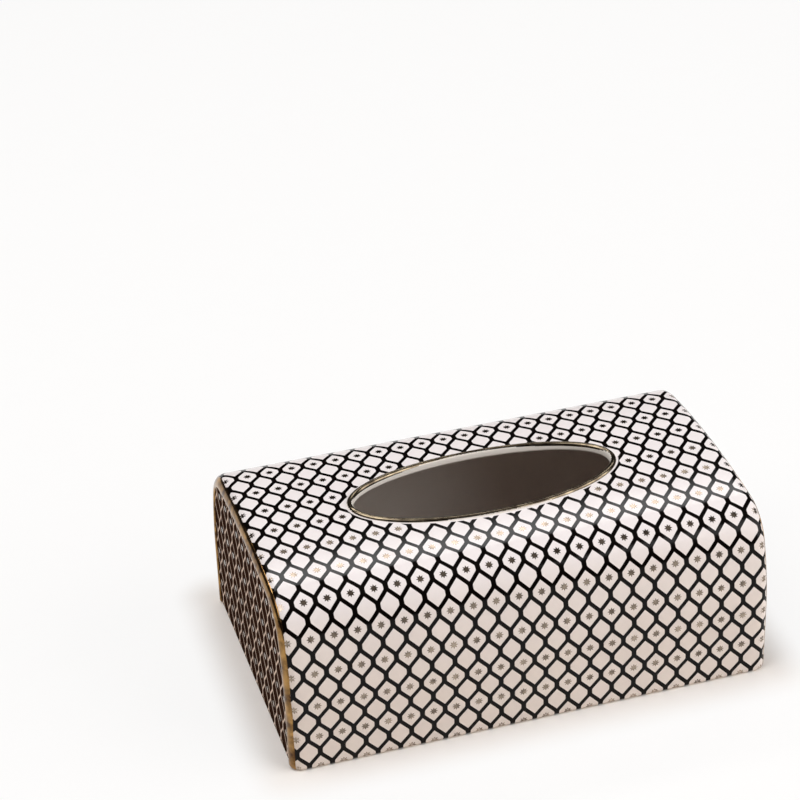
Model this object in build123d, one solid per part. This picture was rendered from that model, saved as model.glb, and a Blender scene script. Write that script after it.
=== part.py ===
"""Ceramic tissue box.

A slip-cast porcelain cover with a loaf-shaped section stands over a lined base board.
Magnets in the board hold it to steel discs under lugs in the cover's corners.
Millimetres, +X along the box, +Y towards its back, +Z up, origin on the table under its middle.
"""

import os

from build123d import *

# Cover: overall size, and the tangent arcs of its loaf section
cover_length = 240.0
cover_depth = 148.0
crown_height = 91.0
crown_radius = 410.0
shoulder_radius = 23.3
flank_radius = 129.0
straight_wall_height = 33.0

# Cover: walls, and the rounded rim that frames each end panel, which is sunk a little behind it
wall = 5.0
rim_width = 6.3
rim_edge_radius = 5.5
end_recess = 0.8

# Oval slot in the crown, and the raised lip round it
slot_length = 130.0
slot_width = 50.0
lip_width = 3.0
lip_height = 1.2
lip_edge_radius = 1.0

# Lugs cast into the cover's four inner corners
lug_reach = 20.0
lug_height = 12.0
lug_corner_radius = 8.0

# Base board, with a finger hole to pull it out by
board_thickness = 5.0
board_clearance = 1.0
board_corner_radius = 6.0
finger_hole_length = 34.0
finger_hole_width = 22.0

# Flannel on the board
lining_thickness = 0.8
lining_hole_margin = 1.0

# Disc magnets in the board, and the steel discs under the lugs
magnet_diameter = 12.0
magnet_thickness = 2.5
magnet_clearance = 0.1
keeper_diameter = 14.0
keeper_thickness = 1.5
keeper_gap = 0.3

# Soft pads under the board
pad_diameter = 14.0
pad_thickness = 2.0

# How far a cut runs past the face it opens
overrun = 1.0

# Levels and half sizes that the pieces share
board_underside = pad_thickness
board_top = board_underside + board_thickness
magnet_underside = board_top - magnet_thickness
lining_top = board_top + lining_thickness
keeper_underside = lining_top + keeper_gap
lug_underside = keeper_underside + keeper_thickness
cavity_half_length = cover_length / 2 - end_recess - wall
cavity_half_depth = cover_depth / 2 - wall
corner_x = cavity_half_length - lug_reach / 2
corner_y = cavity_half_depth - lug_reach / 2
board_length = 2 * (cavity_half_length - board_clearance)
board_depth = 2 * (cavity_half_depth - board_clearance)

CORNERS = {
    "front_left": (-corner_x, -corner_y),
    "front_right": (corner_x, -corner_y),
    "back_left": (-corner_x, corner_y),
    "back_right": (corner_x, corner_y),
}


def shoulder_centre(crown_centre, flank_centre):
    """Centre of the shoulder arc, which touches the crown arc and the flank arc from inside."""
    crown_reach = crown_radius - shoulder_radius
    flank_reach = flank_radius - shoulder_radius
    between = flank_centre - crown_centre
    along = (crown_reach**2 - flank_reach**2 + between.length**2) / (2 * between.length)
    across = (crown_reach**2 - along**2) ** 0.5
    direction = between.normalized()
    side = Vector(direction.Y, -direction.X)
    return crown_centre + direction * along + side * across


def arc_between(centre, radius, first, second):
    """Arc about a centre, from one direction to another."""
    middle = (first + second).normalized()
    return ThreePointArc(centre + first * radius, centre + middle * radius, centre + second * radius)


def loaf_face(inset, bottom):
    """Loaf section in the YZ plane, moved in by inset all round, cut off level at bottom."""
    crown_centre = Vector(0, crown_height - crown_radius)
    flank_centre = Vector(cover_depth / 2 - flank_radius, straight_wall_height)
    shoulder = shoulder_centre(crown_centre, flank_centre)
    crown_end = (shoulder - crown_centre).normalized()
    flank_start = (shoulder - flank_centre).normalized()
    upright = Vector(0, 1)
    outward = Vector(1, 0)
    wall_top = flank_centre + outward * (flank_radius - inset)
    foot = Vector(wall_top.X, bottom)
    half = [
        Line(Vector(0, bottom), foot),
        Line(foot, wall_top),
        arc_between(flank_centre, flank_radius - inset, outward, flank_start),
        arc_between(shoulder, shoulder_radius - inset, flank_start, crown_end),
    ]
    other_half = [mirror(edge, Plane.YZ) for edge in half]
    crown_start = Vector(-crown_end.X, crown_end.Y)
    crown = ThreePointArc(
        crown_centre + crown_start * (crown_radius - inset),
        crown_centre + upright * (crown_radius - inset),
        crown_centre + crown_end * (crown_radius - inset),
    )
    return Plane.YZ * make_face(half + other_half + [crown])


def loaf(inset, half_length, bottom):
    """Solid with the loaf section, centred along X."""
    return extrude(loaf_face(inset, bottom), half_length, both=True)


def oval_column(length, width):
    """Upright oval column from the straight wall's top to above the crown."""
    top = crown_height + lip_height + overrun
    oval = Pos(0, 0, straight_wall_height) * Ellipse(length / 2, width / 2)
    return extrude(oval, top - straight_wall_height)


def rounded_loaf():
    """Outside of the cover, its end edges rounded except along the foot."""
    block = loaf(0, cover_length / 2, 0)
    end_faces = block.faces().filter_by(Axis.X)
    arched_edges = [edge for face in end_faces for edge in face.edges().sort_by(Axis.Z)[1:]]
    return fillet(arched_edges, rim_edge_radius)


def end_recesses():
    """Cuts that sink both end panels behind their rims."""
    cut = extrude(loaf_face(rim_width, -overrun), end_recess + overrun)
    right = Pos(cover_length / 2 - end_recess, 0, 0) * cut
    return [right, mirror(right, Plane.YZ)]


def corner_lugs():
    """Four lugs, let into the end and long walls, that the steel discs are bonded under."""
    let_in = wall / 2
    reach = lug_reach + let_in
    square = Rectangle(reach, reach)
    free_corner = square.vertices().group_by(Axis.X)[0].sort_by(Axis.Y)[0]
    plan = fillet(free_corner, lug_corner_radius)
    centre_x = cavity_half_length + let_in - reach / 2
    centre_y = cavity_half_depth + let_in - reach / 2
    lug = extrude(Pos(centre_x, centre_y, lug_underside) * plan, lug_height)
    pair = [lug, mirror(lug, Plane.YZ)]
    return pair + [mirror(each, Plane.XZ) for each in pair]


def ceramic_cover():
    """Porcelain shell: loaf with recessed ends, raised oval lip, open underside and corner lugs."""
    lip_outline = oval_column(slot_length + 2 * lip_width, slot_width + 2 * lip_width)
    lip = loaf(-lip_height, cover_length / 2, 0) & lip_outline
    shell = rounded_loaf() + lip - end_recesses()
    shell -= loaf(wall, cavity_half_length, -overrun)
    shell -= oval_column(slot_length, slot_width)
    lip_top = shell.faces().sort_by(Axis.Z)[-1]
    shell = fillet(lip_top.edges(), lip_edge_radius)
    return shell + corner_lugs()


def disc(diameter, thickness, place, underside):
    """Flat round piece with its underside at a level."""
    x, y = place
    return extrude(Pos(x, y, underside) * Circle(diameter / 2), thickness)


def finger_hole(margin):
    """Plan of the finger hole, widened by a margin all round."""
    return SlotOverall(finger_hole_length + 2 * margin, finger_hole_width + 2 * margin)


def board_plan(hole_margin):
    """Plan of the base board and its lining, which fills the cover's open underside."""
    return RectangleRounded(board_length, board_depth, board_corner_radius) - finger_hole(hole_margin)


def base_board():
    """Board with a finger hole in the middle and a pocket for a magnet near each corner."""
    board = extrude(Pos(0, 0, board_underside) * board_plan(0), board_thickness)
    pocket_diameter = magnet_diameter + 2 * magnet_clearance
    for place in CORNERS.values():
        board -= disc(pocket_diameter, magnet_thickness + overrun, place, magnet_underside)
    return board


def base_lining():
    """Flannel glued over the board and its magnets."""
    return extrude(Pos(0, 0, board_top) * board_plan(lining_hole_margin), lining_thickness)


def all_pieces():
    """Every piece by its node's name."""
    pieces = {
        "ceramic_cover": ceramic_cover(),
        "base_board": base_board(),
        "base_lining": base_lining(),
    }
    for corner, place in CORNERS.items():
        pieces["keeper_disc_" + corner] = disc(keeper_diameter, keeper_thickness, place, keeper_underside)
        pieces["magnet_" + corner] = disc(magnet_diameter, magnet_thickness, place, magnet_underside)
        pieces["foot_pad_" + corner] = disc(pad_diameter, pad_thickness, place, 0)
    return pieces


os.makedirs("parts", exist_ok=True)
for name, piece in all_pieces().items():
    export_step(piece, "parts/" + name + ".step")
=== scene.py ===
"""Looks of the ceramic tissue box: a porcelain cover with a printed trellis and gilding, over its lined base.

The cover's skin, its gilding and its stars are laid out flat first, as (distance along the box,
distance round the section, height above the surface). One node tree then rolls them over the rounded ends
of the cover and folds them over its loaf section.
Metres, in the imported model's frame: +X along the box, +Y towards its back, +Z up.
"""

import math

import bmesh
import bpy
from mathutils import Matrix, Vector, noise


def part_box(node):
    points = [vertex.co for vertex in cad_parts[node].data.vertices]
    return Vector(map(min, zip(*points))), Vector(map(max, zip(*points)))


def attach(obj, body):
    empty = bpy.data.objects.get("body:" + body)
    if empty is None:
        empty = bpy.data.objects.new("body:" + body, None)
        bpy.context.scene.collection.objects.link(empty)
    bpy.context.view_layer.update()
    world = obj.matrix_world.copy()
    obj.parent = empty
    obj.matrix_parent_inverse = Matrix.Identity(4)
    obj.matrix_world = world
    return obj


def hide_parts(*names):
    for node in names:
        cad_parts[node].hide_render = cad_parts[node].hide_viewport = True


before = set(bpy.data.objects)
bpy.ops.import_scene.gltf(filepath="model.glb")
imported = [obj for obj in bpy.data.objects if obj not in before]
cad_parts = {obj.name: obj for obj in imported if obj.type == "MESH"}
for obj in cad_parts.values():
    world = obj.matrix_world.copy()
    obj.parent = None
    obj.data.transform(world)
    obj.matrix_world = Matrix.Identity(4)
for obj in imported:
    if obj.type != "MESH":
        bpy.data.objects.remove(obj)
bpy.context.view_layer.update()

# Cover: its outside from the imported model, and the tangent arcs of its loaf section
lip_height = 0.0012
half_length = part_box("ceramic_cover")[1].x
half_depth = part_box("ceramic_cover")[1].y
crown_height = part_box("ceramic_cover")[1].z - lip_height
crown_radius = 0.410
shoulder_radius = 0.0233
flank_radius = 0.129
straight_wall_height = 0.033

# Cover: wall, rounded end edges, end panels sunk behind their rims, cavity, foot
wall = 0.005
end_edge_radius = 0.0055
end_recess = 0.0008
edge_start = half_length - end_edge_radius
edge_run = end_edge_radius * math.pi / 2
rim_end = edge_start + edge_run
cavity_half_length = half_length - end_recess - wall
cavity_corner_radius = 0.003
foot_radius = 0.0020

# Oval slot: the raised lip round it, and the wall there, which thins, leans in a little and is rounded below
slot_half_length = 0.065
slot_half_width = 0.025
slot_wall = 0.0032
slot_lean = 0.00035
slot_edge_radius = 0.0014
lip_width = 0.003
lip_half_length = slot_half_length + lip_width / 2
lip_half_width = slot_half_width + lip_width / 2

# Patch of the skin that carries the slot, and the narrow strip that holds the end panel's edge flat
patch_half_length = 0.084
patch_girth = 0.038
panel_strip = 0.0008

# Gilding: where it starts on the rounded end edge, how unevenly it is brushed there, the round line on
# the slot's lip, how far all gilding stands above the glaze and how far it reaches below
left_gilt_angle = math.radians(37)
right_gilt_angle = math.radians(50)
brush_wobble = 0.00035
brush_length = 0.011
lip_bead_radius = 0.00142
gilt_relief = 0.00005
gilt_depth = 0.0001
gilt_foot_gap = 0.0002
left_gilt_start = edge_start + end_edge_radius * left_gilt_angle
right_gilt_start = edge_start + end_edge_radius * right_gilt_angle

# Printed trellis: pitch along the box, half the repeat round the section, where a plain cell's centre lies
trellis_pitch = 0.01114
trellis_row = 0.008731
trellis_girth = 0.00187
upright_share = 0.128
upright_width_share = 0.222
line_share = 0.181
bend_share = 0.055
print_margin = 0.0009
print_softness = 0.00012

# Gilt stars in every second row of cells
star_radius = 0.0021
star_notch_share = 0.56
star_depth = 0.00016
star_columns = 22
star_rows = 17
star_sides = 16
star_slot_margin = 0.0042
star_relief = 0.00004

# End panels: the same trellis in pale lines on brown-black, with stars clear of the rim
end_pitch = 0.0115
end_row = 0.00993
end_line_share = 0.092
end_upright_width_share = 0.112
end_trellis_z = 0.0062
end_columns = 14
end_rows = 5
end_star_margin = 0.0092

# Base board, lining, and the pieces at their corners
board_corner_radius = 0.006
board_ease = 0.0006
finger_hole_half_length = 0.017
finger_hole_half_width = 0.011
lining_hole_margin = 0.001
lining_ease = 0.00035
magnet_clearance = 0.0001
magnet_ease = 0.0003
keeper_ease = 0.0004
pad_ease = 0.0006
lug_corner_radius = 0.008
lug_reach = 0.020
lug_height = 0.012
lug_ease = 0.0012

# Mesh densities
section_points = 1600
patch_columns = 22
patch_rows = 16
patch_rings = 8
side_columns = 6
edge_columns = 10
cavity_side_columns = 4
film_columns = 9
crown_rows = 5
shoulder_rows = 26
flank_rows = 16
upright_rows = 8
quarter_steps = 5
crest_steps = 16
corner_steps = 10
ease_steps = 4
pocket_sides = 48
bead_sides = 20
lip_steps = 220
sharp_angle = math.radians(40)
star_sharp_angle = math.radians(30)
weld = 0.000001

# Lights: place, what each faces, size, power and colour. The long strip looks straight across the box at the
# line of the crown's front, where it mirrors
box_middle = (0.0, 0.0, 0.05)
crown_front_line = (0.3, -0.0415, 0.089)
LIGHTS = {
    "key": ((1.45, -0.90, 1.04), box_middle, (1.9, 1.7), 33.0, "#fffdfd"),
    "fill": ((-1.0, -0.10, 1.78), box_middle, (1.6, 1.6), 26.2, "#fffdfd"),
    "strip": ((0.3, 1.067, 1.351), crown_front_line, (2.4, 0.17), 8.6, "#ffffff"),
}

# Camera: place, viewing direction, roll, and focal length as a share of the picture's width
camera_place = Vector((-0.3173, -0.9691, 0.7682))
camera_look = Vector((0.23395, 0.81781, -0.52579)).normalized()
camera_roll = math.radians(-2.04)
focal_share = 3.1703


# The loaf section


def section_arcs():
    """Crown, shoulder and flank arcs as (start girth, centre, radius, start angle), and the wall's girth."""
    crown_centre = Vector((0, crown_height - crown_radius))
    flank_centre = Vector((half_depth - flank_radius, straight_wall_height))
    crown_reach = crown_radius - shoulder_radius
    flank_reach = flank_radius - shoulder_radius
    between = flank_centre - crown_centre
    along = (crown_reach**2 - flank_reach**2 + between.length_squared) / (2 * between.length)
    across = math.sqrt(crown_reach**2 - along**2)
    direction = between.normalized()
    shoulder_centre = crown_centre + direction * along + Vector((direction.y, -direction.x)) * across
    from_crown = shoulder_centre - crown_centre
    from_flank = shoulder_centre - flank_centre
    crown_angle = math.atan2(from_crown.x, from_crown.y)
    shoulder_angle = math.atan2(from_flank.x, from_flank.y)
    shoulder_girth = crown_radius * crown_angle
    flank_girth = shoulder_girth + shoulder_radius * (shoulder_angle - crown_angle)
    wall_girth = flank_girth + flank_radius * (math.pi / 2 - shoulder_angle)
    arcs = [
        (0.0, crown_centre, crown_radius, 0.0),
        (shoulder_girth, shoulder_centre, shoulder_radius, crown_angle),
        (flank_girth, flank_centre, flank_radius, shoulder_angle),
    ]
    return arcs, wall_girth


arcs, wall_girth = section_arcs()
half_girth = wall_girth + straight_wall_height


def section_spot(girth):
    """Point of the section and its outward direction; girth runs from the crown's middle, back positive."""
    side = 1 if girth > 0 else -1
    run = abs(girth)
    outward = Vector((1, 0))
    spot = Vector((half_depth, straight_wall_height + wall_girth - run))
    if run < wall_girth:
        start, centre, radius, angle = [arc for arc in arcs if arc[0] <= run][-1]
        turn = angle + (run - start) / radius
        outward = Vector((math.sin(turn), math.cos(turn)))
        spot = centre + outward * radius
    return Vector((0, side * spot.x, spot.y)), Vector((0, side * outward.x, outward.y))


def steps_between(low, high, count):
    """Even steps from low up to high, without low itself."""
    return [low + (high - low) * step / count for step in range(1, count + 1)]


def quarter_turns():
    """Steps of a quarter turn, without its start."""
    return steps_between(0, math.pi / 2, quarter_steps)


# Node trees

# Sockets of the Mix node for colours and the Compare node for whole numbers, by number, because their
# names belong to several sockets
COLOUR_A, COLOUR_B, MIXED_COLOUR = 6, 7, 2
WHOLE_A, WHOLE_B = 2, 3


def feed(tree, node, inputs):
    """Sets a node's inputs, by name or in order, to values, sockets or the first outputs of other nodes."""
    pairs = inputs.items() if isinstance(inputs, dict) else enumerate(inputs)
    for socket, value in pairs:
        if isinstance(value, bpy.types.Node):
            value = value.outputs[0]
        if isinstance(value, bpy.types.NodeSocket):
            tree.links.new(value, node.inputs[socket])
        else:
            node.inputs[socket].default_value = value


def add(tree, kind, inputs=(), **settings):
    """Adds a node with its settings and inputs."""
    node = tree.nodes.new(kind)
    for name, value in settings.items():
        setattr(node, name, value)
    feed(tree, node, inputs)
    return node


def new_tree(name, sizes):
    """Geometry tree with a named float input for each size; returns it with its input and output nodes."""
    tree = bpy.data.node_groups.new(name, "GeometryNodeTree")
    tree.interface.new_socket("Geometry", in_out="INPUT", socket_type="NodeSocketGeometry")
    tree.interface.new_socket("Geometry", in_out="OUTPUT", socket_type="NodeSocketGeometry")
    for size in sizes:
        tree.interface.new_socket(size, in_out="INPUT", socket_type="NodeSocketFloat")
    return tree, add(tree, "NodeGroupInput"), add(tree, "NodeGroupOutput")


def ended(tree, result, geometry, material):
    """Ends a tree with plain geometry in one material."""
    made = add(tree, "GeometryNodeRealizeInstances", [geometry])
    feed(tree, result, [add(tree, "GeometryNodeSetMaterial", {"Geometry": made, "Material": material})])
    return tree


def shaped_by(piece, tree, sizes):
    """Runs a geometry tree on a piece with these sizes, and leaves the result as the piece's plain mesh."""
    modifier = piece.modifiers.new(tree.name, "NODES")
    modifier.node_group = tree
    for item in tree.interface.items_tree:
        if item.in_out == "INPUT" and item.name in sizes:
            modifier[item.identifier] = sizes[item.name]
    depsgraph = bpy.context.evaluated_depsgraph_get()
    shaped = piece.evaluated_get(depsgraph)
    mesh = bpy.data.meshes.new_from_object(shaped, preserve_all_data_layers=True, depsgraph=depsgraph)
    piece.modifiers.clear()
    piece.data = mesh
    mesh.name = piece.name
    mesh.shade_smooth()
    return piece


def foot_tuck(tree, flat):
    """How far the rounded foot draws the surface in; nothing at the depth of the cavity's wall."""
    start = half_girth - foot_radius
    run = add(tree, "ShaderNodeMath", [flat.outputs["Y"]], operation="ABSOLUTE")
    past = add(tree, "ShaderNodeMapRange", {"Value": run, "From Min": start, "From Max": half_girth})
    turn = add(tree, "ShaderNodeMath", [past], operation="ARCSINE")
    reach = add(tree, "ShaderNodeMath", [turn], operation="COSINE")
    tuck = add(tree, "ShaderNodeMapRange", {"Value": reach, "To Min": foot_radius, "To Max": 0.0})
    fade = add(tree, "ShaderNodeMapRange", {"Value": flat.outputs["Z"], "From Min": -wall, "From Max": 0.0})
    return add(tree, "ShaderNodeMath", [tuck, fade], operation="MULTIPLY")


def rolled_over_ends(tree, flat_x, height):
    """Carries flat points round the rounded end edges; returns their place along the box and new height."""
    side = add(tree, "ShaderNodeMath", [flat_x], operation="SIGN")
    run = add(tree, "ShaderNodeMath", [flat_x], operation="ABSOLUTE")
    straight = add(tree, "ShaderNodeMath", [run, edge_start], operation="MINIMUM")
    over = add(tree, "ShaderNodeMath", [run, straight], operation="SUBTRACT")
    curved = add(tree, "ShaderNodeMath", [over, edge_run], operation="MINIMUM")
    past = add(tree, "ShaderNodeMath", [over, curved], operation="SUBTRACT")
    turn = add(tree, "ShaderNodeMath", [curved, end_edge_radius], operation="DIVIDE")
    reach = add(tree, "ShaderNodeMath", [height, end_edge_radius], operation="ADD")
    sine = add(tree, "ShaderNodeMath", [turn], operation="SINE")
    cosine = add(tree, "ShaderNodeMath", [turn], operation="COSINE")
    along = add(tree, "ShaderNodeMath", [sine, reach, straight], operation="MULTIPLY_ADD")
    sided = add(tree, "ShaderNodeMath", [along, side], operation="MULTIPLY")
    sunk = add(tree, "ShaderNodeMath", [past, end_edge_radius], operation="ADD")
    upward = add(tree, "ShaderNodeMath", [cosine, reach], operation="MULTIPLY")
    return sided, add(tree, "ShaderNodeMath", [upward, sunk], operation="SUBTRACT")


def fold_tree(section):
    """Rolls what is laid out flat over the ends and folds it over the loaf: Y is girth, Z height above it."""
    tree, given, result = new_tree("fold_over_loaf", ["Half girth"])
    flat = add(tree, "ShaderNodeSeparateXYZ", [add(tree, "GeometryNodeInputPosition")])
    tuck = foot_tuck(tree, flat)
    tucked = add(tree, "ShaderNodeMath", [flat.outputs["Z"], tuck], operation="SUBTRACT")
    along, height = rolled_over_ends(tree, flat.outputs["X"], tucked)
    girth = given.outputs["Half girth"]
    travel = add(tree, "ShaderNodeMath", [flat.outputs["Y"], girth], operation="ADD")
    path = add(tree, "GeometryNodeObjectInfo", {"Object": section})
    spot = {"Curves": path.outputs["Geometry"], "Length": travel}
    sample = add(tree, "GeometryNodeSampleCurve", spot, mode="LENGTH", use_all_curves=True)
    lengthwise = [(1, 0, 0), sample.outputs["Tangent"]]
    outward = add(tree, "ShaderNodeVectorMath", lengthwise, operation="CROSS_PRODUCT")
    raised = add(tree, "ShaderNodeVectorMath", {0: outward, "Scale": height}, operation="SCALE")
    shift = add(tree, "ShaderNodeCombineXYZ", {"X": along})
    beside = add(tree, "ShaderNodeVectorMath", [sample.outputs["Position"], shift], operation="ADD")
    place = add(tree, "ShaderNodeVectorMath", [beside, raised], operation="ADD")
    moved = {"Geometry": given.outputs["Geometry"], "Position": place}
    feed(tree, result, [add(tree, "GeometryNodeSetPosition", moved)])
    return tree


def folded(tree, fold, given, geometry):
    """Geometry that is laid out flat, folded over the loaf."""
    inputs = {"Geometry": geometry, "Half girth": given.outputs["Half girth"]}
    return add(tree, "GeometryNodeGroup", inputs, node_tree=fold)


def skin_tree(fold, finishes):
    """Folds the cover's skin and gives each face the material of its finish number."""
    tree, given, result = new_tree("cover_skin", ["Half girth"])
    finish = add(tree, "GeometryNodeInputNamedAttribute", {"Name": "finish"}, data_type="INT")
    skin = folded(tree, fold, given, given.outputs["Geometry"])
    made = add(tree, "GeometryNodeRealizeInstances", [skin])
    for number, material in enumerate(finishes):
        pair = {WHOLE_A: finish, WHOLE_B: number}
        chosen = add(tree, "FunctionNodeCompare", pair, data_type="INT", operation="EQUAL")
        dressing = {"Geometry": made, "Selection": chosen, "Material": material}
        made = add(tree, "GeometryNodeSetMaterial", dressing)
    feed(tree, result, [made])
    return tree


def bead_tree(fold, material):
    """Sweeps a round bead along paths laid out flat, and folds it over the loaf."""
    tree, given, result = new_tree("gilt_bead", ["Half girth", "Bead radius", "Bead sides"])
    path = add(tree, "GeometryNodeMeshToCurve", [given.outputs["Geometry"]])
    sizes = {"Resolution": given.outputs["Bead sides"], "Radius": given.outputs["Bead radius"]}
    profile = add(tree, "GeometryNodeCurvePrimitiveCircle", sizes)
    sweep = {"Curve": path, "Profile Curve": profile, "Fill Caps": True}
    bead = add(tree, "GeometryNodeCurveToMesh", sweep)
    return ended(tree, result, folded(tree, fold, given, bead), material)


def film_tree(fold, material):
    """Folds a gilt film that is laid out flat over the loaf."""
    tree, given, result = new_tree("gilt_film", ["Half girth"])
    return ended(tree, result, folded(tree, fold, given, given.outputs["Geometry"]), material)


def star_shape(tree, given):
    """Flat eight-pointed star, lying on its face with its top at height zero."""
    depth = given.outputs["Star depth"]
    sizes = {"Vertices": star_sides, "Radius": given.outputs["Star radius"], "Depth": depth}
    prism = add(tree, "GeometryNodeMeshCylinder", sizes, fill_type="TRIANGLE_FAN")
    index = add(tree, "GeometryNodeInputIndex")
    following = add(tree, "ShaderNodeMath", [index, 1.0], operation="ADD")
    parity = add(tree, "ShaderNodeMath", [following, 2.0], operation="MODULO")
    share = given.outputs["Notch share"]
    narrow = add(tree, "ShaderNodeCombineXYZ", {"X": share, "Y": share, "Z": 1.0})
    place = add(tree, "GeometryNodeInputPosition")
    notch = add(tree, "ShaderNodeVectorMath", [place, narrow], operation="MULTIPLY")
    cut = add(tree, "GeometryNodeSetPosition", {"Geometry": prism, "Selection": parity, "Position": notch})
    half_down = add(tree, "ShaderNodeMath", [depth, -0.5], operation="MULTIPLY")
    down = add(tree, "ShaderNodeCombineXYZ", {"Z": half_down})
    return add(tree, "GeometryNodeSetPosition", {"Geometry": cut, "Offset": down})


def star_tree(fold, material):
    """Sets a gilt star on each point of a flat lattice, and folds the field over the loaf."""
    tree, given, result = new_tree("gilt_stars", ["Half girth", "Star radius", "Star depth", "Notch share"])
    field = {"Points": given.outputs["Geometry"], "Instance": star_shape(tree, given)}
    stars = add(tree, "GeometryNodeInstanceOnPoints", field)
    made = add(tree, "GeometryNodeRealizeInstances", [stars])
    return ended(tree, result, folded(tree, fold, given, made), material)


def end_star_tree(material):
    """Sets a gilt star on each point of the end panels, turned to face away from the box."""
    tree, given, result = new_tree("end_stars", ["Star radius", "Star depth", "Notch share"])
    place = add(tree, "ShaderNodeSeparateXYZ", [add(tree, "GeometryNodeInputPosition")])
    side = add(tree, "ShaderNodeMath", [place.outputs["X"]], operation="SIGN")
    turn = add(tree, "ShaderNodeMath", [side, math.pi / 2], operation="MULTIPLY")
    facing = add(tree, "ShaderNodeCombineXYZ", {"Y": turn})
    field = {"Points": given.outputs["Geometry"], "Instance": star_shape(tree, given), "Rotation": facing}
    return ended(tree, result, add(tree, "GeometryNodeInstanceOnPoints", field), material)


def corner_points(tree, given):
    """Grid with one point over each corner piece."""
    size_x, size_y = [
        add(tree, "ShaderNodeMath", [given.outputs[corner], 2.0], operation="MULTIPLY")
        for corner in ("Corner x", "Corner y")
    ]
    grid = {"Size X": size_x, "Size Y": size_y, "Vertices X": 2, "Vertices Y": 2}
    return add(tree, "GeometryNodeMeshGrid", grid)


def pocket_tree(material):
    """Sinks a round pocket into a plate's top at each corner point."""
    sizes = ["Corner x", "Corner y", "Pocket radius", "Pocket depth", "Plate top"]
    tree, given, result = new_tree("pockets", sizes)
    height = add(tree, "ShaderNodeMath", [given.outputs["Pocket depth"], 2.0], operation="MULTIPLY")
    column = {"Vertices": pocket_sides, "Radius": given.outputs["Pocket radius"], "Depth": height}
    cutter = add(tree, "GeometryNodeMeshCylinder", column)
    lift = add(tree, "ShaderNodeCombineXYZ", {"Z": given.outputs["Plate top"]})
    raised = add(tree, "GeometryNodeSetPosition", {"Geometry": corner_points(tree, given), "Offset": lift})
    cutters = add(tree, "GeometryNodeInstanceOnPoints", {"Points": raised, "Instance": cutter})
    solid_cutters = add(tree, "GeometryNodeRealizeInstances", [cutters])
    solids = {"Mesh 1": given.outputs["Geometry"], "Mesh 2": solid_cutters}
    cut = add(tree, "GeometryNodeMeshBoolean", solids, operation="DIFFERENCE", solver="EXACT")
    return ended(tree, result, cut, material)


def corner_tree(name, material):
    """Repeats a piece at the four corner points, each turned to face the middle."""
    tree, given, result = new_tree(name, ["Corner x", "Corner y"])
    corners = corner_points(tree, given)
    place = add(tree, "GeometryNodeInputPosition")
    quadrant = add(tree, "ShaderNodeVectorMath", [place], operation="SIGN")
    sign = add(tree, "ShaderNodeSeparateXYZ", [quadrant])
    heading = add(tree, "ShaderNodeMath", [sign.outputs["Y"], sign.outputs["X"]], operation="ARCTAN2")
    turn = add(tree, "ShaderNodeMath", [heading, math.pi / 4], operation="SUBTRACT")
    turned = add(tree, "ShaderNodeCombineXYZ", {"Z": turn})
    four = {"Points": corners, "Instance": given.outputs["Geometry"], "Rotation": turned}
    return ended(tree, result, add(tree, "GeometryNodeInstanceOnPoints", four), material)


# Meshes


def linked(name, data):
    """New object at the origin with this data."""
    made = bpy.data.objects.new(name, data)
    bpy.context.scene.collection.objects.link(made)
    return made


def section_curve():
    """Curve along the loaf section, from the front foot over the crown to the back foot."""
    curve = bpy.data.curves.new("loaf_section", "CURVE")
    curve.dimensions = "3D"
    spline = curve.splines.new("POLY")
    spline.points.add(section_points)
    for index, point in enumerate(spline.points):
        spot, _ = section_spot(half_girth * (2 * index / section_points - 1))
        point.co = (*spot, 1)
    return linked("loaf_section", curve)


def patch(bm, rows, finish, layers):
    """Quads between neighbouring rows of flat points, with their finish number and flat UV."""
    uv, mark = layers
    made = [[bm.verts.new(point) for point in row] for row in rows]
    for lower, upper in zip(made, made[1:]):
        for corners in zip(lower, lower[1:], upper[1:], upper):
            face = bm.faces.new(corners)
            face[mark] = finish
            for loop in face.loops:
                loop[uv].uv = loop.vert.co.xy


def mesh_of(bm, name):
    """Turns a bmesh into a mesh of that name."""
    mesh = bpy.data.meshes.new(name)
    bm.to_mesh(mesh)
    bm.free()
    return mesh


def tube_mesh(name, loops, capped):
    """Closed mesh from loops of points: capped at both ends, or running from the last loop to the first."""
    bm = bmesh.new()
    rings = [[bm.verts.new(point) for point in loop] for loop in loops]
    pairs = list(zip(rings, rings[1:]))
    if capped:
        bm.faces.new(rings[0])
        bm.faces.new(rings[-1])
    else:
        pairs.append((rings[-1], rings[0]))
    for lower, upper in pairs:
        for index in range(len(lower)):
            bm.faces.new((lower[index - 1], lower[index], upper[index], upper[index - 1]))
    bmesh.ops.remove_doubles(bm, verts=bm.verts, dist=weld)
    bmesh.ops.recalc_face_normals(bm, faces=bm.faces)
    mesh = mesh_of(bm, name)
    mesh.shade_smooth()
    return mesh


def rounded_outline(half_x, half_y, radius, level):
    """Points of a rectangle with round corners at a level; a circle where the radius is both half sizes."""
    points = []
    for quarter in range(4):
        sign_x = 1 if quarter in (0, 3) else -1
        sign_y = 1 if quarter in (0, 1) else -1
        for step in range(corner_steps + 1):
            angle = math.pi / 2 * (quarter + step / corner_steps)
            x = sign_x * (half_x - radius) + radius * math.cos(angle)
            y = sign_y * (half_y - radius) + radius * math.sin(angle)
            points.append((x, y, level))
    return points


def eased_levels(bottom, top, ease):
    """Levels and insets of an upright side whose two edges are rounded."""
    turns = [math.pi / 2 * step / ease_steps for step in range(ease_steps + 1)]
    low = [(bottom + ease * (1 - math.sin(turn)), ease * (1 - math.cos(turn))) for turn in turns]
    high = [(top - ease * (1 - math.sin(turn)), ease * (1 - math.cos(turn))) for turn in turns]
    return low[::-1] + high


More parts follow.
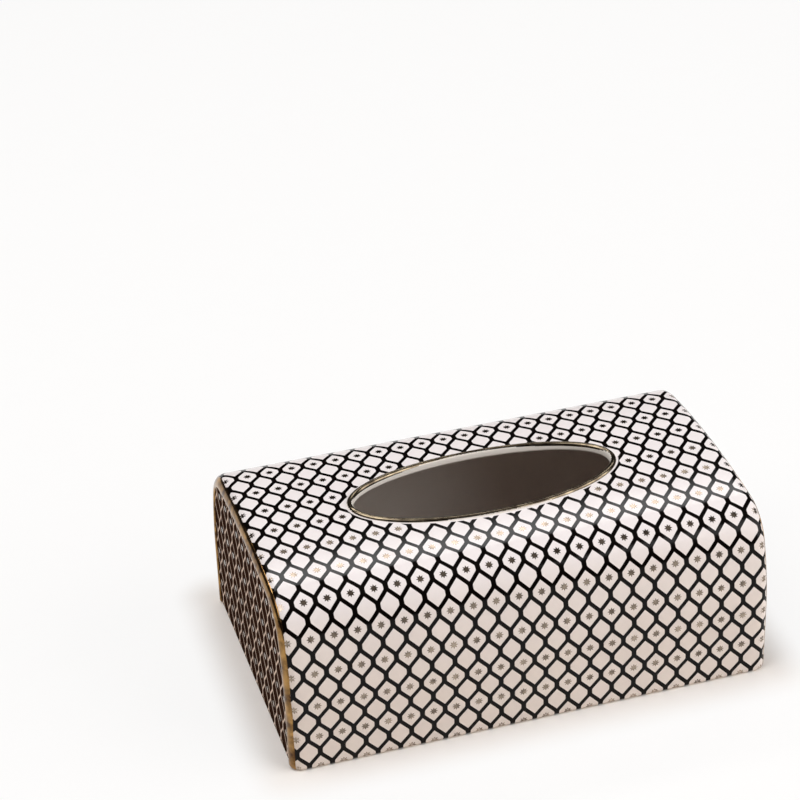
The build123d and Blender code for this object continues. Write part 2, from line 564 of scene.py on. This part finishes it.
def eased_block(name, half_x, half_y, radius, bottom, top, ease):
    """Solid block with round corners and eased edges."""
    loops = [
        rounded_outline(half_x - inset, half_y - inset, radius - inset, level)
        for level, inset in eased_levels(bottom, top, ease)
    ]
    return linked(name, tube_mesh(name, loops, True))


def eased_plate(name, half_x, half_y, radius, hole, bottom, top, ease):
    """Plate with round corners, eased edges and a round-ended hole in its middle."""
    hole_x, hole_y = hole
    outside = []
    inside = []
    for level, inset in eased_levels(bottom, top, ease):
        outside.append(rounded_outline(half_x - inset, half_y - inset, radius - inset, level))
        inside.append(rounded_outline(hole_x + inset, hole_y + inset, hole_y + inset, level))
    return linked(name, tube_mesh(name, outside + inside[::-1], False))


# The cover's skin

TRELLIS, PLAIN, END = range(3)


def skin_rows():
    """Girth of each row of the skin, from the front foot to the back foot."""
    shoulder_girth = arcs[1][0]
    flank_girth = arcs[2][0]
    foot_girth = half_girth - foot_radius
    spans = [
        (0.0, patch_girth, patch_rows),
        (patch_girth, shoulder_girth, crown_rows),
        (shoulder_girth, flank_girth, shoulder_rows),
        (flank_girth, wall_girth, flank_rows),
        (wall_girth, foot_girth, upright_rows),
    ]
    rows = [girth for low, high, count in spans for girth in steps_between(low, high, count)]
    rows += [foot_girth + foot_radius * math.sin(turn) for turn in quarter_turns()]
    return [-girth for girth in reversed(rows)] + [0.0] + rows


def rim_roll(radius):
    """Flat profile of the rim's inner edge, which rolls from the end's front down to the sunk panel."""
    centre = -gilt_relief - end_recess
    return [(rim_end + radius * math.sin(turn), centre + radius * math.cos(turn)) for turn in quarter_turns()]


def patch_xs():
    """Columns of the right half of the slot's patch."""
    return [0.0] + steps_between(0, patch_half_length, patch_columns)


def skin_columns():
    """Columns of the right half from the middle: (place along, height, finish of the strip before it)."""
    xs = patch_xs() + steps_between(patch_half_length, edge_start, side_columns)
    xs += steps_between(edge_start, rim_end, edge_columns)
    columns = [(x, -gilt_relief, TRELLIS) for x in xs]
    columns += [(x, height, PLAIN) for x, height in rim_roll(end_recess)]
    panel_x, panel_height, _ = columns[-1]
    return columns + [(panel_x + panel_strip, panel_height, END)]


def cavity_columns():
    """Columns of the cavity's right half, with its rounded end corners."""
    fillet_x = cavity_half_length - cavity_corner_radius
    xs = patch_xs() + steps_between(patch_half_length, fillet_x, cavity_side_columns)
    columns = [(x, -wall, PLAIN) for x in xs]
    for turn in quarter_turns():
        depth = wall + cavity_corner_radius * (1 - math.cos(turn))
        columns.append((fillet_x + cavity_corner_radius * math.sin(turn), -depth, PLAIN))
    return columns


def flat_point(column, girth, side):
    """Flat point where a column crosses a row."""
    x, height, _ = column
    return Vector((side * x, girth, height))


def slot_border():
    """Flat points round the patch, counter-clockwise, on the columns and rows that border it."""
    xs = patch_xs()
    girths = [0.0] + steps_between(0, patch_girth, patch_rows)
    xs = [-x for x in reversed(xs[1:])] + xs
    girths = [-girth for girth in reversed(girths[1:])] + girths
    right = [(patch_half_length, girth) for girth in girths]
    top = [(x, patch_girth) for x in reversed(xs)]
    left = [(-patch_half_length, girth) for girth in reversed(girths)]
    bottom = [(x, -patch_girth) for x in xs]
    return right[:-1] + top[:-1] + left[:-1] + bottom[:-1]


def oval_ring(border, shrink, depth):
    """Ring of flat points on the oval of the lip's crest, drawn in by shrink, one for each border point."""
    half_x = lip_half_length - shrink
    half_y = lip_half_width - shrink
    ring = []
    for x, girth in border + border[:1]:
        angle = math.atan2(girth / half_y, x / half_x)
        ring.append(Vector((half_x * math.cos(angle), half_y * math.sin(angle), -depth)))
    return ring


def rings_to_border(border, oval, depth):
    """Rings from an oval out to the patch's border, which lies at one depth."""
    edge = [Vector((x, girth, -depth)) for x, girth in border + border[:1]]
    shares = [ring / patch_rings for ring in range(patch_rings + 1)]
    return [[near.lerp(far, share) for near, far in zip(oval, edge)] for share in shares]


def slot_wall_rings(border):
    """Rings from the crown over the round lip and down the slot's wall to the cavity's ceiling."""
    ridge = lip_width / 2
    centre_depth = ridge - lip_height
    turns = [math.pi * (step / crest_steps - 0.5) for step in range(crest_steps + 1)]
    over = [(ridge * math.sin(turn), gilt_relief + centre_depth - ridge * math.cos(turn)) for turn in turns]
    over = [(shrink, depth) for shrink, depth in over if shrink > 0 or depth < gilt_relief]
    low = slot_wall - slot_edge_radius
    tip = ridge + slot_lean
    bottom = [
        (tip - slot_edge_radius * (1 - math.cos(turn)), low + slot_edge_radius * math.sin(turn))
        for turn in [0.0] + quarter_turns()
    ]
    outer = [(-ridge, gilt_relief)]
    return [oval_ring(border, shrink, depth) for shrink, depth in outer + over + bottom]


def flat_cover():
    """The whole cover laid out flat, except the foot's face: skin, rims, end panels, slot wall and cavity."""
    bm = bmesh.new()
    layers = bm.loops.layers.uv.new("laid_flat"), bm.faces.layers.int.new("finish")
    rows = skin_rows()
    border = slot_border()
    for columns in (skin_columns(), cavity_columns()):
        for side in (-1, 1):
            for first, second in zip(columns, columns[1:]):
                strip_beside_slot(bm, rows, layers, (first, second), side)
            end_faces(bm, rows, layers, columns[-1], side)
    wall_rings = slot_wall_rings(border)
    patch(bm, rings_to_border(border, wall_rings[0], gilt_relief), TRELLIS, layers)
    patch(bm, wall_rings, PLAIN, layers)
    patch(bm, rings_to_border(border, wall_rings[-1], wall), PLAIN, layers)
    bmesh.ops.remove_doubles(bm, verts=bm.verts, dist=weld)
    return mesh_of(bm, "ceramic_cover_flat")


def strip_beside_slot(bm, rows, layers, columns, side):
    """One lengthwise step of the skin, all round the section, left open where the slot's patch goes."""
    outer_x, _, finish = columns[1]
    runs = [rows]
    if outer_x <= patch_half_length + weld:
        runs = [[girth for girth in rows if sign * girth >= patch_girth - weld] for sign in (-1, 1)]
    for run in runs:
        points = [[flat_point(column, girth, side) for column in columns] for girth in run]
        patch(bm, points, finish, layers)


def end_faces(bm, rows, layers, column, side):
    """Flat end: strips from each row of the back half to the same row of the front half."""
    half = [girth for girth in rows if girth >= 0]
    pairs = [[flat_point(column, sign * girth, side) for sign in (1, -1)] for girth in half]
    patch(bm, pairs, column[2], layers)


def close_foot(mesh, finish):
    """Fills the foot between its walls in one of the mesh's finishes, and turns all faces outwards."""
    slot = mesh.materials.find(finish.name)
    bm = bmesh.new()
    bm.from_mesh(mesh)
    bmesh.ops.remove_doubles(bm, verts=bm.verts, dist=weld)
    open_edges = [edge for edge in bm.edges if edge.is_boundary]
    filled = bmesh.ops.triangle_fill(bm, edges=open_edges, use_beauty=True, use_dissolve=False)
    for face in filled["geom"]:
        if isinstance(face, bmesh.types.BMFace):
            face.material_index = slot
    bmesh.ops.recalc_face_normals(bm, faces=bm.faces)
    bm.to_mesh(mesh)
    bm.free()
    mesh.shade_smooth()
    mesh.set_sharp_from_angle(angle=sharp_angle)


# Gilding


def rim_film(name, side, start):
    """Gilt film of one rim laid out flat: from its brushed edge on the print to the rim's inner edge."""
    loops = []
    for girth in skin_rows():
        if abs(girth) > half_girth - gilt_foot_gap:
            continue
        wobble = brush_wobble * noise.noise(Vector((girth / brush_length, side, 0)))
        xs = [start + wobble] + steps_between(start + wobble, rim_end, film_columns)
        outer = [(x, 0.0) for x in xs] + rim_roll(end_recess + gilt_relief)
        inner = [(x, -gilt_relief - gilt_depth) for x in xs] + rim_roll(end_recess - gilt_depth)
        loops.append([(side * x, girth, height) for x, height in outer + inner[::-1]])
    return linked(name, tube_mesh(name, loops, True))


def lip_line(name):
    """Flat closed line along the crest of the slot's lip, for a bead to follow."""
    height = lip_height - lip_bead_radius
    bm = bmesh.new()
    oval = []
    for step in range(lip_steps):
        turn = 2 * math.pi * step / lip_steps
        oval.append(bm.verts.new((lip_half_length * math.cos(turn), lip_half_width * math.sin(turn), height)))
    for first, second in zip(oval, oval[1:] + oval[:1]):
        bm.edges.new((first, second))
    return linked(name, mesh_of(bm, name))


def star_lattice():
    """Flat points at the middle of every star cell that is clear of the slot's lip, the rims and the foot."""
    reach_x = lip_half_length + star_slot_margin
    reach_y = lip_half_width + star_slot_margin
    points = []
    for column in range(-star_columns // 2, star_columns // 2):
        for row in range(-star_rows, star_rows):
            x = trellis_pitch * (column + 0.5)
            girth = trellis_girth + trellis_row * (2 * row + 1)
            clear_of_slot = math.hypot(x / reach_x, girth / reach_y) > 1
            if clear_of_slot and abs(girth) < half_girth and abs(x) < left_gilt_start:
                points.append((x, girth, star_relief - gilt_relief))
    return points


def end_star_points():
    """Points at the middle of every star cell of the end panels that lies clear of the rim."""
    panel_x = half_length - gilt_relief - end_recess + star_relief
    edge = [section_spot(girth) for girth in skin_rows()]
    points = []
    for column in range(-end_columns // 2, end_columns // 2):
        for row in range(end_rows):
            place = Vector((0, end_pitch * (column + 0.5), end_trellis_z + end_row * (2 * row + 1)))
            if all((spot - place).dot(outward) > end_star_margin for spot, outward in edge):
                points += [(side * panel_x, place.y, place.z) for side in (-1, 1)]
    return points


# Materials


def linear(hex_colour):
    """Linear colour with alpha from an sRGB hex value."""
    channels = [int(hex_colour[start:start + 2], 16) / 255 for start in (1, 3, 5)]
    return [c / 12.92 if c <= 0.04045 else ((c + 0.055) / 1.055) ** 2.4 for c in channels] + [1.0]


def new_material(name):
    """Material with a shader of its own; returns it with its tree, the shader and the place on the object."""
    material = bpy.data.materials.new(name)
    material.use_nodes = True
    tree = material.node_tree
    place = add(tree, "ShaderNodeTexCoord").outputs["Object"]
    return material, tree, tree.nodes["Principled BSDF"], place


def mottled(tree, place, size, detail, *pairs):
    """Noise with blotches of a real size, and a colour mixed by it from each pair of hex colours."""
    blotches = add(tree, "ShaderNodeTexNoise", {"Vector": place, "Scale": 1 / size, "Detail": detail})
    colours = []
    for low, high in pairs:
        inks = {"Factor": blotches, COLOUR_A: linear(low), COLOUR_B: linear(high)}
        colours.append(add(tree, "ShaderNodeMix", inks, data_type="RGBA").outputs[MIXED_COLOUR])
    return blotches, *colours


def ogee_lines(tree, across, along, pitch, row, line_width, upright_width):
    """1 on a trellis of sloping lines joined by short uprights, 0 in its cells.

    Both distances are measured from the middle of a plain cell.
    """
    rise = row - 2 * upright_share * pitch
    slant = math.hypot(rise, pitch / 2)
    across_part = rise / slant
    along_part = pitch / 2 / slant
    start = across_part * pitch / 4 + along_part * row / 2
    fold_x = add(tree, "ShaderNodeMath", [across, pitch / 2], operation="PINGPONG")
    fold_y = add(tree, "ShaderNodeMath", [along, row], operation="PINGPONG")
    sloping = add(tree, "ShaderNodeMath", [fold_x, -across_part, start], operation="MULTIPLY_ADD")
    sloping = add(tree, "ShaderNodeMath", [fold_y, -along_part, sloping], operation="MULTIPLY_ADD")
    margins = []
    for side, edge in ((1, (upright_width - pitch) / 2), (-1, upright_width / 2)):
        beside = add(tree, "ShaderNodeMath", [fold_x, side, edge], operation="MULTIPLY_ADD")
        slope = [sloping, -side, line_width / 2]
        beyond = add(tree, "ShaderNodeMath", slope, operation="MULTIPLY_ADD")
        rounding = [beside, beyond, bend_share * pitch]
        margins.append(add(tree, "ShaderNodeMath", rounding, operation="SMOOTH_MAX"))
    inked = add(tree, "ShaderNodeMath", margins, operation="MINIMUM")
    softness = {"From Min": -print_softness / 2, "From Max": print_softness / 2}
    return add(tree, "ShaderNodeMapRange", {"Value": inked, **softness})


def glaze(tree, place):
    """Fired glaze: glossy, with a slow ripple where it flowed and a faint unevenness of gloss."""
    ripple_size = 0.009
    ripple_depth = 0.00004
    ripple = add(tree, "ShaderNodeTexNoise", {"Vector": place, "Scale": 1 / ripple_size, "Detail": 2.0})
    return {
        "Normal": add(tree, "ShaderNodeBump", {"Height": ripple, "Strength": 0.5, "Distance": ripple_depth}),
        "Roughness": add(tree, "ShaderNodeMapRange", {"Value": ripple, "To Min": 0.09, "To Max": 0.15}),
        "IOR": 1.5,
        "Specular IOR Level": 0.13,
    }


def white_glaze(tree, place, dark, light):
    """Warm white of glazed porcelain, slightly uneven over a few centimetres."""
    cloud_size = 0.03
    _, white = mottled(tree, place, cloud_size, 3.0, (dark, light))
    return white


def porcelain_with_trellis():
    """Glazed porcelain printed with a black trellis: crisp black lines under the same gloss as the white."""
    material, tree, shader, place = new_material("glazed_porcelain_trellis")
    flat = add(tree, "ShaderNodeUVMap", uv_map="laid_flat")
    spot = add(tree, "ShaderNodeSeparateXYZ", [flat])
    along = add(tree, "ShaderNodeMath", [spot.outputs["Y"], trellis_girth], operation="SUBTRACT")
    widths = line_share * trellis_pitch, upright_width_share * trellis_pitch
    lines = ogee_lines(tree, spot.outputs["X"], along, trellis_pitch, trellis_row, *widths)
    reach_x = lip_half_length + lip_width / 2 + print_margin
    reach_y = lip_half_width + lip_width / 2 + print_margin
    oval = add(tree, "ShaderNodeVectorMath", [flat, (reach_x, reach_y, 1.0)], operation="DIVIDE")
    radius = add(tree, "ShaderNodeVectorMath", [oval], operation="LENGTH").outputs["Value"]
    edge = print_softness / reach_y
    outside = add(tree, "ShaderNodeMapRange", {"Value": radius, "From Min": 1 - edge, "From Max": 1 + edge})
    printed = add(tree, "ShaderNodeMath", [lines, outside], operation="MULTIPLY")
    white = white_glaze(tree, place, "#e8e1e0", "#f1ebea")
    inks = {"Factor": printed, COLOUR_A: white, COLOUR_B: linear("#070403")}
    colour = add(tree, "ShaderNodeMix", inks, data_type="RGBA").outputs[MIXED_COLOUR]
    feed(tree, shader, {"Base Color": colour, **glaze(tree, place)})
    return material


def porcelain_end():
    """End panel with a matt print: the trellis in pale lines on a brown-black ground that mirrors nothing."""
    material, tree, shader, place = new_material("matt_porcelain_end")
    cloud_size = 0.02
    spot = add(tree, "ShaderNodeSeparateXYZ", [place])
    along = add(tree, "ShaderNodeMath", [spot.outputs["Z"], end_trellis_z], operation="SUBTRACT")
    widths = end_line_share * end_pitch, end_upright_width_share * end_pitch
    lines = ogee_lines(tree, spot.outputs["Y"], along, end_pitch, end_row, *widths)
    tones = ("#2a1a14", "#3c2921"), ("#dccbc2", "#ead9d0")
    _, ground, pale = mottled(tree, place, cloud_size, 3.0, *tones)
    inks = {"Factor": lines, COLOUR_A: ground, COLOUR_B: pale}
    colour = add(tree, "ShaderNodeMix", inks, data_type="RGBA").outputs[MIXED_COLOUR]
    feed(tree, shader, {"Base Color": colour, "Roughness": 0.5, "Specular IOR Level": 0.0})
    return material


def porcelain_plain():
    """Glazed white porcelain without print, as inside the cover and on the slot's wall. Its white is lighter
    and warmer than the printed porcelain's: painted light, so these walls look lit.
    """
    material, tree, shader, place = new_material("glazed_porcelain_plain")
    white = white_glaze(tree, place, "#f1e9df", "#f8f2e9")
    feed(tree, shader, {"Base Color": white, **glaze(tree, place)})
    return material


def fired_gold(name, dark, light, low_gloss, high_gloss):
    """Liquid gold fired on glaze: a thin film, bright gold in itself, brushed on unevenly and a little worn.
    The colours given to it here are darker than that: painted shade for the dim surroundings the gold
    mirrors.
    """
    material, tree, shader, place = new_material(name)
    stroke_size = 0.006
    stroke = add(tree, "ShaderNodeTexNoise", {"Vector": place, "Scale": 1 / stroke_size, "Detail": 5.0})
    film = add(tree, "ShaderNodeMapRange", {"Value": stroke, "From Min": 0.36, "From Max": 0.64})
    golds = {"Factor": film, COLOUR_A: linear(dark), COLOUR_B: linear(light)}
    colour = add(tree, "ShaderNodeMix", golds, data_type="RGBA").outputs[MIXED_COLOUR]
    gloss = add(tree, "ShaderNodeMapRange", {"Value": stroke, "To Min": low_gloss, "To Max": high_gloss})
    feed(tree, shader, {"Base Color": colour, "Roughness": gloss, "Metallic": 1.0})
    return material


def stained_fibreboard():
    """Fibreboard stained dark: matt, with the mottle of its felted fibres."""
    material, tree, shader, place = new_material("stained_fibreboard")
    fibre_size = 0.0012
    fibre_depth = 0.00008
    fibre, colour = mottled(tree, place, fibre_size, 6.0, ("#2b211b", "#4a3a2f"))
    bump = add(tree, "ShaderNodeBump", {"Height": fibre, "Strength": 0.5, "Distance": fibre_depth})
    feed(tree, shader, {"Base Color": colour, "Normal": bump, "Roughness": 0.75})
    return material


def brushed_flannel():
    """Brown flannel with a brushed nap: soft mottling, and a sheen where the fibres stand up."""
    material, tree, shader, place = new_material("brushed_flannel")
    nap_size = 0.0009
    nap_depth = 0.0003
    mottle_size = 0.012
    nap = add(tree, "ShaderNodeTexNoise", {"Vector": place, "Scale": 1 / nap_size, "Detail": 6.0})
    mottle = add(tree, "ShaderNodeTexNoise", {"Vector": place, "Scale": 1 / mottle_size, "Detail": 3.0})
    mixed = add(tree, "ShaderNodeMath", [nap, mottle], operation="MULTIPLY")
    shade = add(tree, "ShaderNodeMapRange", {"Value": mixed, "From Min": 0.12, "From Max": 0.4})
    browns = {"Factor": shade, COLOUR_A: linear("#6d5a56"), COLOUR_B: linear("#967e7a")}
    colour = add(tree, "ShaderNodeMix", browns, data_type="RGBA").outputs[MIXED_COLOUR]
    bump = add(tree, "ShaderNodeBump", {"Height": nap, "Strength": 0.8, "Distance": nap_depth})
    feed(tree, shader, {"Base Color": colour, "Normal": bump, "Roughness": 0.95})
    feed(tree, shader, {"Sheen Weight": 0.35, "Sheen Roughness": 0.5})
    return material


def plated_metal(name, dark, light, low_gloss, high_gloss):
    """Plated metal disc: pressed and tumbled, with a fine uneven gloss."""
    material, tree, shader, place = new_material(name)
    tumble_size = 0.0015
    tumble, colour = mottled(tree, place, tumble_size, 4.0, (dark, light))
    gloss = add(tree, "ShaderNodeMapRange", {"Value": tumble, "To Min": low_gloss, "To Max": high_gloss})
    feed(tree, shader, {"Base Color": colour, "Roughness": gloss, "Metallic": 1.0})
    return material


def foam_rubber():
    """Black closed-cell rubber of the pads: matt, with the pinholes of its cells."""
    material, tree, shader, place = new_material("foam_rubber")
    cell_size = 0.0007
    cell_depth = 0.0001
    cells = add(tree, "ShaderNodeTexVoronoi", {"Vector": place, "Scale": 1 / cell_size}).outputs["Distance"]
    blacks = {"Factor": cells, COLOUR_A: linear("#0d0c0c"), COLOUR_B: linear("#232120")}
    colour = add(tree, "ShaderNodeMix", blacks, data_type="RGBA").outputs[MIXED_COLOUR]
    bump = add(tree, "ShaderNodeBump", {"Height": cells, "Strength": 0.6, "Distance": cell_depth})
    feed(tree, shader, {"Base Color": colour, "Normal": bump, "Roughness": 0.9})
    return material


# Pieces


def finished(piece, body, slot, *nodes):
    """Lets a piece ride on a body and stand for its nodes; its slot of the record is not used."""
    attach(piece, body)
    if nodes:
        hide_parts(*nodes)


def make_shell(fold, girth):
    """Cover shell, its foot in the end panels' finish; returns the plain glaze, for the lugs."""
    plain = porcelain_plain()
    finishes = [porcelain_with_trellis(), plain, porcelain_end()]
    shell = linked("cover_shell", flat_cover())
    shaped_by(shell, skin_tree(fold, finishes), girth)
    close_foot(shell.data, finishes[END])
    finished(shell, "cover", "porcelain", "ceramic_cover")
    return plain


def make_gilt_lines(fold, girth):
    """Gilt films on both rims, and the gilt line on the slot's lip."""
    # The rims' gold is darker than bright gold: partly painted shade for the dim surroundings it mirrors. The
    # patches along it are random unevenness of the brushed film.
    rim_gold = fired_gold("fired_gold", "#4d3522", "#a9834f", 0.10, 0.22)
    film = film_tree(fold, rim_gold)
    rims = (("gilt_left_rim", -1, left_gilt_start), ("gilt_right_rim", 1, right_gilt_start))
    for name, side, start in rims:
        finished(shaped_by(rim_film(name, side, start), film, girth), "cover", "gilding")
    # The lip's gold is darker and greyer than gold's own colour: painted shade for the dark surroundings it
    # mirrors.
    lip_gold = fired_gold("dark_fired_gold", "#50463a", "#938670", 0.12, 0.22)
    bead = {"Bead radius": lip_bead_radius, "Bead sides": bead_sides}
    lip = shaped_by(lip_line("gilt_lip"), bead_tree(fold, lip_gold), {**girth, **bead})
    finished(lip, "cover", "gilding")


def make_gilt_stars(fold, girth):
    """Gilt stars all over the trellis, and on the end panels."""
    # The stars' gold is darker and greyer than bright gold: painted shade for the dim surroundings it
    # mirrors.
    star_gold = fired_gold("pale_fired_gold", "#6a5f55", "#a89a8b", 0.17, 0.26)
    sizes = {"Star radius": star_radius, "Star depth": star_depth, "Notch share": star_notch_share}
    for name, points, tree in (
        ("gilt_stars", star_lattice(), star_tree(fold, star_gold)),
        ("gilt_end_stars", end_star_points(), end_star_tree(star_gold)),
    ):
        lattice = bpy.data.meshes.new(name)
        lattice.from_pydata(points, [], [])
        stars = shaped_by(linked(name, lattice), tree, {**girth, **sizes})
        stars.data.set_sharp_from_angle(angle=star_sharp_angle)
        finished(stars, "cover", "gilding")


def make_cover():
    """Cover shell, its gilding and its lugs."""
    section = section_curve()
    fold = fold_tree(section)
    girth = {"Half girth": half_girth}
    plain = make_shell(fold, girth)
    make_gilt_lines(fold, girth)
    make_gilt_stars(fold, girth)
    bpy.data.objects.remove(section)
    make_lugs(plain)


def corner_places(shift):
    """Tree inputs for the corner points, which lie over the keeper discs or a shift further out."""
    low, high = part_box("keeper_disc_back_right")
    middle = (low + high) / 2
    return {"Corner x": middle.x + shift, "Corner y": middle.y + shift}


def make_corner_piece(name, kind, ease, material, body, slot):
    """Four round pieces of one kind, one for each of their nodes."""
    low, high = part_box(kind + "_back_right")
    radius = (high.x - low.x) / 2
    piece = eased_block(name, radius, radius, radius, low.z, high.z, ease)
    shaped_by(piece, corner_tree(name + "_at_corners", material), corner_places(0.0))
    finished(piece, body, slot, *[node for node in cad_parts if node.startswith(kind)])


def make_lugs(material):
    """Lugs in the cover's corners, above the keeper discs and let into its walls."""
    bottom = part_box("keeper_disc_back_right")[1].z
    top = bottom + lug_height
    let_in = wall / 2
    half_size = (lug_reach + let_in) / 2
    lugs = eased_block("cover_lugs", half_size, half_size, lug_corner_radius, bottom, top, lug_ease)
    shaped_by(lugs, corner_tree("lugs_at_corners", material), corner_places(let_in / 2))
    finished(lugs, "cover", "porcelain")


def make_board(hole):
    """Base board with its finger hole and a pocket for each magnet."""
    low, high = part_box("base_board")
    board = eased_plate("board", high.x, high.y, board_corner_radius, hole, low.z, high.z, board_ease)
    magnet_low, magnet_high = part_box("magnet_back_right")
    sizes = {
        **corner_places(0.0),
        "Pocket radius": (magnet_high.x - magnet_low.x) / 2 + magnet_clearance,
        "Pocket depth": magnet_high.z - magnet_low.z,
        "Plate top": high.z,
    }
    shaped_by(board, pocket_tree(stained_fibreboard()), sizes)
    board.data.set_sharp_from_angle(angle=sharp_angle)
    finished(board, "base", "board", "base_board")
    return board


def make_lining(hole, board):
    """Flannel laid on the board, cut back a little round the finger hole."""
    low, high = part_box("base_lining")
    hole_x, hole_y = [half + lining_hole_margin for half in hole]
    cut = (hole_x, hole_y)
    lining = eased_plate("lining", high.x, high.y, board_corner_radius, cut, low.z, high.z, lining_ease)
    lining.data.materials.append(brushed_flannel())
    finished(lining, "base", "flannel", "base_lining")


def make_base():
    """Base board and its lining, and the discs and pads at the corners."""
    hole = (finger_hole_half_length, finger_hole_half_width)
    make_lining(hole, make_board(hole))
    nickel = plated_metal("nickel_plate", "#a7a49c", "#c9c6bd", 0.14, 0.26)
    zinc = plated_metal("zinc_plated_steel", "#9a9da0", "#bcc0c2", 0.26, 0.42)
    make_corner_piece("magnets", "magnet", magnet_ease, nickel, "base", "magnet_nickel")
    make_corner_piece("keeper_discs", "keeper_disc", keeper_ease, zinc, "cover", "keeper_steel")
    make_corner_piece("foot_pads", "foot_pad", pad_ease, foam_rubber(), "base", "pad_rubber")


# Stage


def distance_beyond_box(tree, place):
    """Distance of a place on the floor from the box's outline; nothing under the box."""
    outline = (half_length, half_depth, 0.0)
    spread = add(tree, "ShaderNodeVectorMath", [place], operation="ABSOLUTE")
    beyond = add(tree, "ShaderNodeVectorMath", [spread, outline], operation="SUBTRACT")
    clear = add(tree, "ShaderNodeVectorMath", [beyond, (0.0, 0.0, 0.0)], operation="MAXIMUM")
    return add(tree, "ShaderNodeVectorMath", [clear], operation="LENGTH").outputs["Value"]


def pale_floor():
    """Plain floor: sand in the light it throws back, white where it is seen, and pale close to the box."""
    material, tree, shader, place = new_material("pale_floor")
    speck_size = 0.02
    white_share = 0.82
    white_reach = 0.025
    tones = ("#e6d3b8", "#ecdbc3"), ("#f3efea", "#f7f4f0")
    _, sand, pale = mottled(tree, place, speck_size, 3.0, *tones)
    rays = add(tree, "ShaderNodeLightPath").outputs
    seen = rays["Is Camera Ray"]
    for kind in ("Is Glossy Ray", "Is Transmission Ray"):
        seen = add(tree, "ShaderNodeMath", [seen, rays[kind]], operation="MAXIMUM")
    tints = {"Factor": seen, COLOUR_A: sand, COLOUR_B: pale}
    colour = add(tree, "ShaderNodeMix", tints, data_type="RGBA").outputs[MIXED_COLOUR]
    feed(tree, shader, {"Base Color": colour, "Roughness": 0.8})
    fade = {"Value": distance_beyond_box(tree, place), "From Max": white_reach, "To Max": white_share}
    whiteness = add(tree, "ShaderNodeMapRange", fade, interpolation_type="SMOOTHSTEP")
    share = add(tree, "ShaderNodeMath", [seen, whiteness], operation="MULTIPLY")
    white = add(tree, "ShaderNodeEmission", {"Color": linear("#ffffff"), "Strength": 1.0})
    mixed = add(tree, "ShaderNodeMixShader", [share, shader, white])
    feed(tree, tree.nodes["Material Output"], {"Surface": mixed})
    return material


def make_floor():
    """Floor that reaches to the horizon of a low view."""
    reach = 30.0
    mesh = bpy.data.meshes.new("floor")
    corners = [(reach * x, reach * y, 0) for x, y in ((-1, -1), (1, -1), (1, 1), (-1, 1))]
    mesh.from_pydata(corners, [], [range(len(corners))])
    mesh.materials.append(pale_floor())
    linked("floor", mesh)


def make_light(name, place, target, size, power, colour):
    """Soft rectangular studio light at a place, facing a target."""
    data = bpy.data.lights.new(name, "AREA")
    data.shape = "RECTANGLE"
    data.size, data.size_y = size
    data.energy = power
    data.color = linear(colour)[:3]
    lamp = linked(name, data)
    lamp.location = place
    lamp.rotation_mode = "QUATERNION"
    lamp.rotation_quaternion = (Vector(target) - Vector(place)).to_track_quat("-Z", "Y")


def make_world():
    """Dim surroundings with a paler ceiling straight above."""
    world = bpy.data.worlds.new("studio")
    bpy.context.scene.world = world
    world.use_nodes = True
    tree = world.node_tree
    place = add(tree, "ShaderNodeTexCoord").outputs["Generated"]
    height = add(tree, "ShaderNodeSeparateXYZ", [place]).outputs["Z"]
    ceiling = add(tree, "ShaderNodeMapRange", {"Value": height, "From Min": 0.85, "From Max": 1.0})
    greys = {"Factor": ceiling, COLOUR_A: linear("#3d3a38"), COLOUR_B: linear("#a5a19e")}
    sky = add(tree, "ShaderNodeMix", greys, data_type="RGBA").outputs[MIXED_COLOUR]
    feed(tree, tree.nodes["Background"], {"Color": sky, "Strength": 1.0})


def make_camera():
    """Camera at the photograph's viewing angle."""
    level_right = camera_look.cross(Vector((0, 0, 1))).normalized()
    level_up = level_right.cross(camera_look)
    right = math.cos(camera_roll) * level_right + math.sin(camera_roll) * level_up
    up = math.cos(camera_roll) * level_up - math.sin(camera_roll) * level_right
    data = bpy.data.cameras.new("camera")
    data.lens = focal_share * data.sensor_width
    camera = linked("camera", data)
    turn = Matrix((right, up, -camera_look)).transposed().to_4x4()
    camera.matrix_world = Matrix.Translation(camera_place) @ turn
    bpy.context.scene.camera = camera


make_cover()
make_base()
make_floor()
for name, setting in LIGHTS.items():
    make_light(name, *setting)
make_world()
make_camera()
bpy.context.scene.view_settings.view_transform = "Standard"
